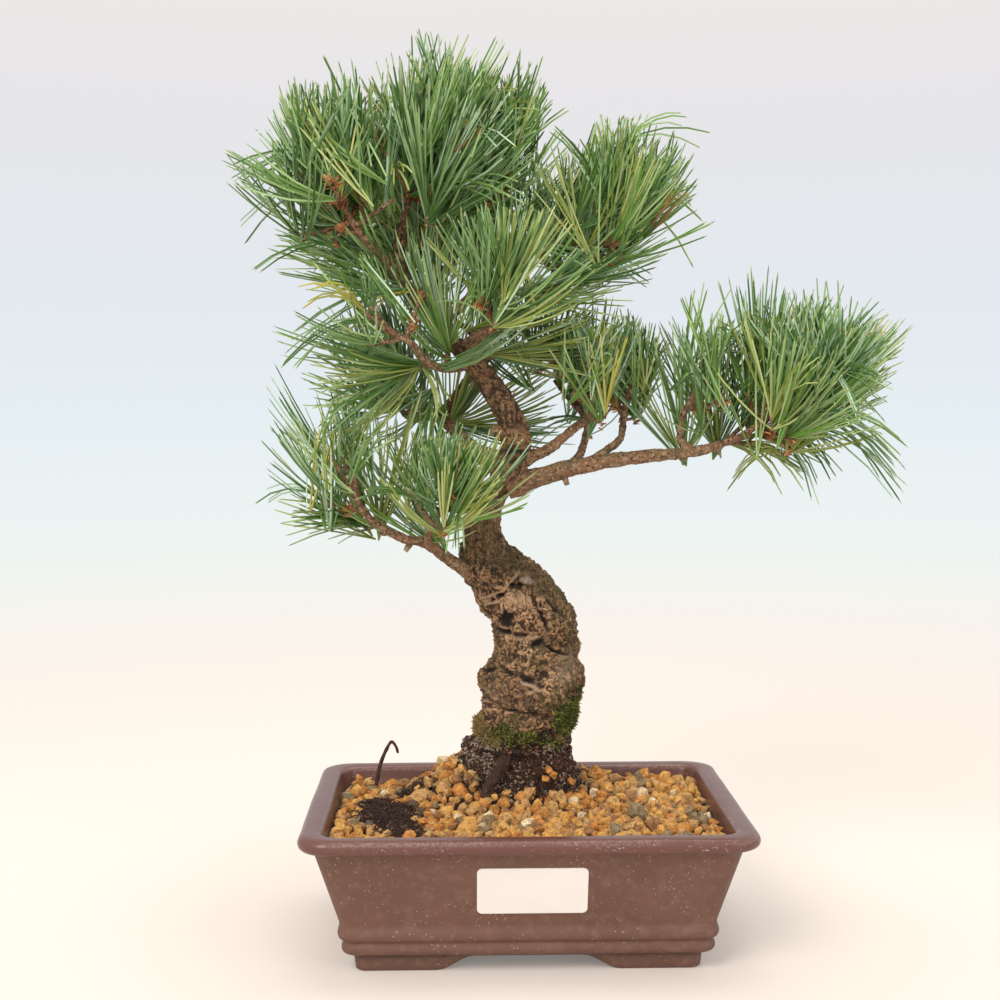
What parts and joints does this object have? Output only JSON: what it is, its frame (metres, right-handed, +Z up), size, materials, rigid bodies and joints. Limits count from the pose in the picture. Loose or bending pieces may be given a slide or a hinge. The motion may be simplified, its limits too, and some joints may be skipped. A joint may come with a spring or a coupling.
{
  "type": "japanese white pine bonsai",
  "caption": "Potted pine bonsai with a thick leaning trunk, a long bough to the right, layered tufts of fine needles and a rectangular footed pot filled with gravel.",
  "frame": {"origin": "middle of the plant's outline seen from above, on the surface that the pot stands on", "axes": "+Z up the tree, +X to the right of the front view, towards the long bough, +Y to the back"},
  "size_m": [0.2939, 0.1589, 0.39],
  "materials": {
    "stoneware": "matt unglazed, glossier rim",
    "gravel": "coarse loose grains",
    "peat": "dark fibrous root ball with peat",
    "bark": "rough gnarled bark",
    "young_bark": "smoother young bark",
    "needles": "thin waxy needles"
  },
  "bodies": {
    "root": {"pot": "stoneware", "soil": "gravel", "root_mound": "peat", "trunk": "bark", "bough_low_left": "young_bark", "bough_low_left_front": "young_bark", "bough_left": "young_bark", "bough_left_rising": "young_bark", "bough_right": "young_bark", "bough_right_inner": "young_bark", "bough_right_inner_back": "young_bark", "bough_right_middle": "young_bark", "bough_right_outer": "young_bark", "bough_centre": "young_bark", "bough_front": "young_bark", "bough_left_front": "young_bark", "bough_back": "young_bark", "bough_upper_right": "young_bark", "bough_upper_right_back": "young_bark", "bough_top_right": "young_bark", "bough_top_left": "young_bark", "needles_top": "needles", "needles_top_left": "needles", "needles_top_right": "needles", "needles_top_back": "needles", "needles_upper_right": "needles", "needles_upper_right_back": "needles", "needles_front": "needles", "needles_left_front": "needles", "needles_left_back": "needles", "needles_centre_back": "needles", "needles_centre": "needles", "needles_low_left": "needles", "needles_low_left_front": "needles", "needles_right_inner": "needles", "needles_right_inner_back": "needles", "needles_right_middle": "needles", "needles_right_outer": "needles", "needles_right_end": "needles"}
  },
  "joints": []
}
